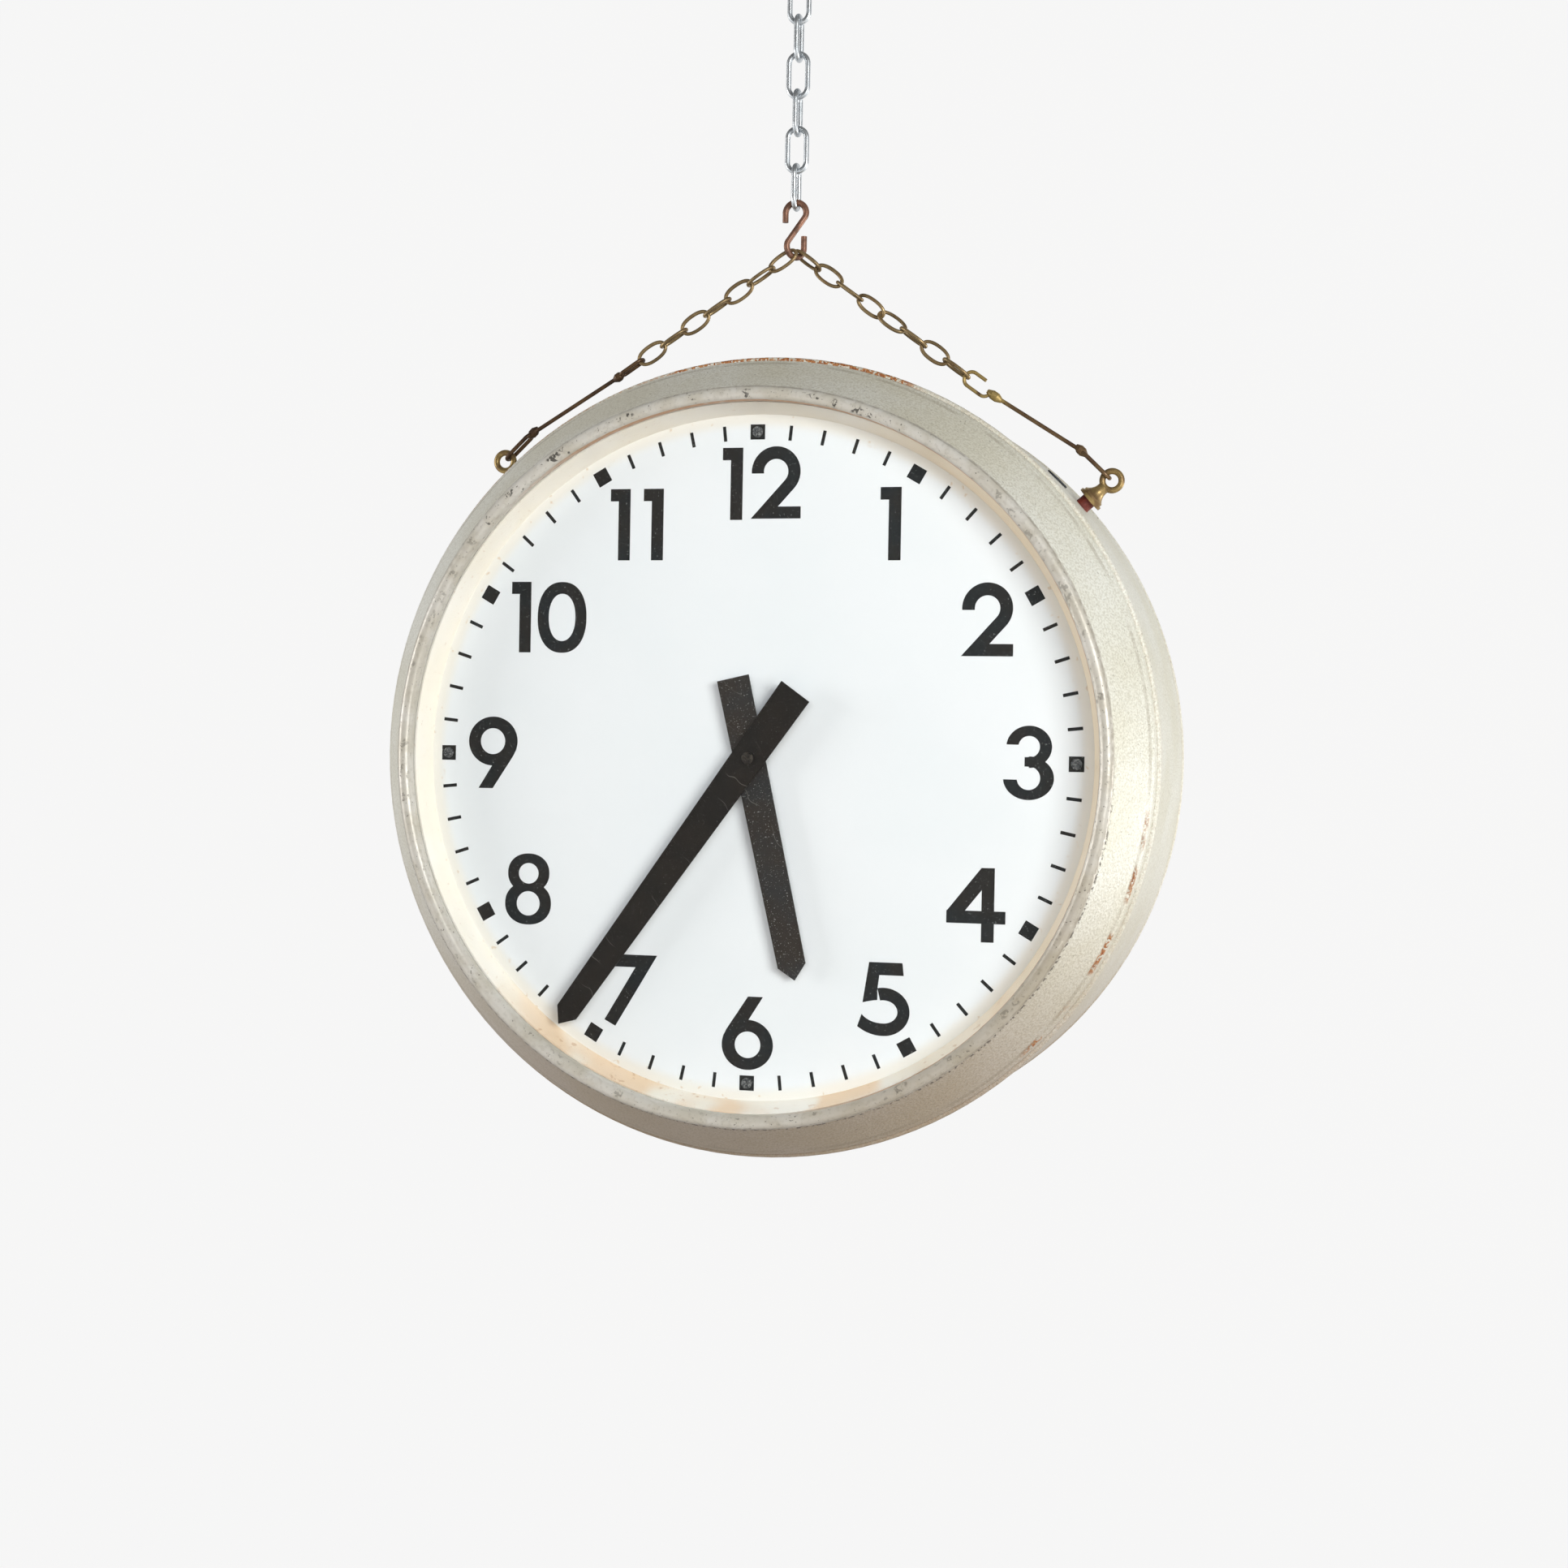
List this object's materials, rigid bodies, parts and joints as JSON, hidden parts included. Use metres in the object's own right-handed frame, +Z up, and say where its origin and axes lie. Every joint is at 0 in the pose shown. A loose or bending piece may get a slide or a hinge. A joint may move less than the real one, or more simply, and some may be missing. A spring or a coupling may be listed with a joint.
{
  "type": "double-sided wall clock",
  "caption": "Round double-faced slave clock with a steel drum case, hanging from a ceiling plate on a chain, an S-hook and a brass bridle.",
  "frame": {"origin": "centre of the ceiling plate's top face", "axes": "+Z up, front dial faces -Y, +X to the right of the front dial"},
  "size_m": [0.4368, 0.1886, 0.6916],
  "materials": {
    "galvanised_steel": "galvanised, dull",
    "zinc_plate": "zinc plated",
    "oxidised_steel": "oxidised brown",
    "aged_brass": "aged, dull",
    "dark_brass": "dark patina",
    "red_fibre": "vulcanised fibre",
    "case_paint": "textured silver-beige paint",
    "bezel_paint": "worn silver paint",
    "ring_paint": "cream gloss paint, yellowed",
    "dial_enamel": "white enamel with black print",
    "black_paint": "satin black paint",
    "glass": "clear",
    "rubber": "matt",
    "inner_steel": "grey primer",
    "block_plastic": "ivory",
    "turned_brass": "turned",
    "sheet_brass": "grained",
    "turned_steel": "turned",
    "core_iron": "ground",
    "coil_wrap": "varnished wire"
  },
  "bodies": {
    "ceiling": {"ceiling_plate": "zinc_plate", "ceiling_hook": "galvanised_steel"},
    "link_1": {"chain_link_1": "galvanised_steel"},
    "link_2": {"chain_link_2": "galvanised_steel"},
    "link_3": {"chain_link_3": "galvanised_steel"},
    "link_4": {"chain_link_4": "galvanised_steel"},
    "link_5": {"chain_link_5": "galvanised_steel"},
    "link_6": {"chain_link_6": "galvanised_steel"},
    "s_hook": {"s_hook": "oxidised_steel"},
    "bridle": {"bridle_links": "aged_brass", "bridle_rod_left": "dark_brass", "bridle_rod_right": "dark_brass"},
    "case": {"eye_bolts": "aged_brass", "eye_ferrules": "aged_brass", "eye_spacers": "red_fibre", "eye_nuts": "galvanised_steel", "drum": "case_paint", "suspension_strap": "inner_steel", "cable_plug": "rubber", "inner_frame": "inner_steel", "terminal_block": "block_plastic", "glass_gaskets": "rubber", "dial_screws": "black_paint", "dial_pillars": "turned_brass", "movement_plates": "sheet_brass", "movement_studs": "turned_steel", "movement_spacers": "turned_steel", "movement_nuts": "turned_steel", "wheel_studs": "turned_steel", "stop_pawls": "turned_steel", "magnet_cores": "core_iron", "coils": "coil_wrap", "front_shell": "case_paint", "front_bezel": "bezel_paint", "front_glass": "glass", "front_inner_ring": "ring_paint", "front_dial": "dial_enamel", "rear_shell": "case_paint", "rear_bezel": "bezel_paint", "rear_glass": "glass", "rear_inner_ring": "ring_paint", "rear_dial": "dial_enamel"},
    "front_minute": {"front_centre_arbor": "turned_steel", "front_ratchet_wheel": "sheet_brass", "front_minute_hand": "black_paint", "front_hub_screw": "turned_steel"},
    "front_hour": {"front_hour_wheel": "sheet_brass", "front_hour_hand": "black_paint"},
    "front_motion_wheel": {"front_minute_wheel": "sheet_brass"},
    "front_rocker": {"front_armature": "core_iron", "front_drive_pawl": "turned_steel"},
    "rear_minute": {"rear_centre_arbor": "turned_steel", "rear_ratchet_wheel": "sheet_brass", "rear_minute_hand": "black_paint", "rear_hub_screw": "turned_steel"},
    "rear_hour": {"rear_hour_wheel": "sheet_brass", "rear_hour_hand": "black_paint"},
    "rear_motion_wheel": {"rear_minute_wheel": "sheet_brass"},
    "rear_rocker": {"rear_armature": "core_iron", "rear_drive_pawl": "turned_steel"}
  },
  "joints": [
    {"name": "link_1_swing", "type": "hinge", "parent": "ceiling", "child": "link_1", "pos_m": [0, 0, -0.0368], "axis": [0, 1, 0], "range_deg": [-15, 15]},
    {"name": "link_2_swing", "type": "hinge", "parent": "link_1", "child": "link_2", "pos_m": [0, 0, -0.0573], "axis": [1, 0, 0], "range_deg": [-15, 15]},
    {"name": "link_3_swing", "type": "hinge", "parent": "link_2", "child": "link_3", "pos_m": [0, 0, -0.0783], "axis": [0, 1, 0], "range_deg": [-15, 15]},
    {"name": "link_4_swing", "type": "hinge", "parent": "link_3", "child": "link_4", "pos_m": [0, 0, -0.0993], "axis": [1, 0, 0], "range_deg": [-15, 15]},
    {"name": "link_5_swing", "type": "hinge", "parent": "link_4", "child": "link_5", "pos_m": [0, 0, -0.1203], "axis": [0, 1, 0], "range_deg": [-15, 15]},
    {"name": "link_6_swing", "type": "hinge", "parent": "link_5", "child": "link_6", "pos_m": [0, 0, -0.1413], "axis": [1, 0, 0], "range_deg": [-15, 15]},
    {"name": "s_hook_swing", "type": "hinge", "parent": "link_6", "child": "s_hook", "pos_m": [0, 0, -0.1623], "axis": [0, 1, 0], "range_deg": [-15, 15]},
    {"name": "bridle_swing", "type": "hinge", "parent": "s_hook", "child": "bridle", "pos_m": [0, 0, -0.18374], "axis": [-0.7837, 0.6211, 0], "range_deg": [-12, 12]},
    {"name": "case_tilt", "type": "hinge", "parent": "bridle", "child": "case", "pos_m": [0.00439, 0, -0.30681], "axis": [0.9991, 0, -0.0424], "range_deg": [-25, 25]},
    {"name": "front_minute_turn", "type": "hinge", "parent": "case", "child": "front_minute", "pos_m": [0, 0, -0.47325], "axis": [0, -1, 0], "continuous": true},
    {"name": "front_minute_wheel_turn", "type": "hinge", "parent": "case", "child": "front_motion_wheel", "pos_m": [0.0096, 0, -0.45662], "axis": [0, -1, 0], "continuous": true},
    {"name": "front_hour_turn", "type": "hinge", "parent": "case", "child": "front_hour", "pos_m": [0, 0, -0.47325], "axis": [0, -1, 0], "continuous": true},
    {"name": "front_armature_rock", "type": "hinge", "parent": "case", "child": "front_rocker", "pos_m": [-0.032, 0, -0.50625], "axis": [0, 1, 0], "range_deg": [0, 4], "stiffness_Nm_per_rad": 0.03, "springref_deg": -22.92},
    {"name": "rear_minute_turn", "type": "hinge", "parent": "case", "child": "rear_minute", "pos_m": [0, 0, -0.47325], "axis": [0, 1, 0], "continuous": true},
    {"name": "rear_minute_wheel_turn", "type": "hinge", "parent": "case", "child": "rear_motion_wheel", "pos_m": [-0.0096, 0, -0.45662], "axis": [0, 1, 0], "continuous": true},
    {"name": "rear_hour_turn", "type": "hinge", "parent": "case", "child": "rear_hour", "pos_m": [0, 0, -0.47325], "axis": [0, 1, 0], "continuous": true},
    {"name": "rear_armature_rock", "type": "hinge", "parent": "case", "child": "rear_rocker", "pos_m": [0.032, 0, -0.50625], "axis": [0, -1, 0], "range_deg": [0, 4], "stiffness_Nm_per_rad": 0.03, "springref_deg": -22.92}
  ],
  "couplings": [
    {"joint": "front_minute_wheel_turn", "follows": "front_minute_turn", "ratio": -0.33333},
    {"joint": "front_hour_turn", "follows": "front_minute_turn", "ratio": 0.083333},
    {"joint": "rear_minute_wheel_turn", "follows": "rear_minute_turn", "ratio": -0.33333},
    {"joint": "rear_hour_turn", "follows": "rear_minute_turn", "ratio": 0.083333}
  ]
}
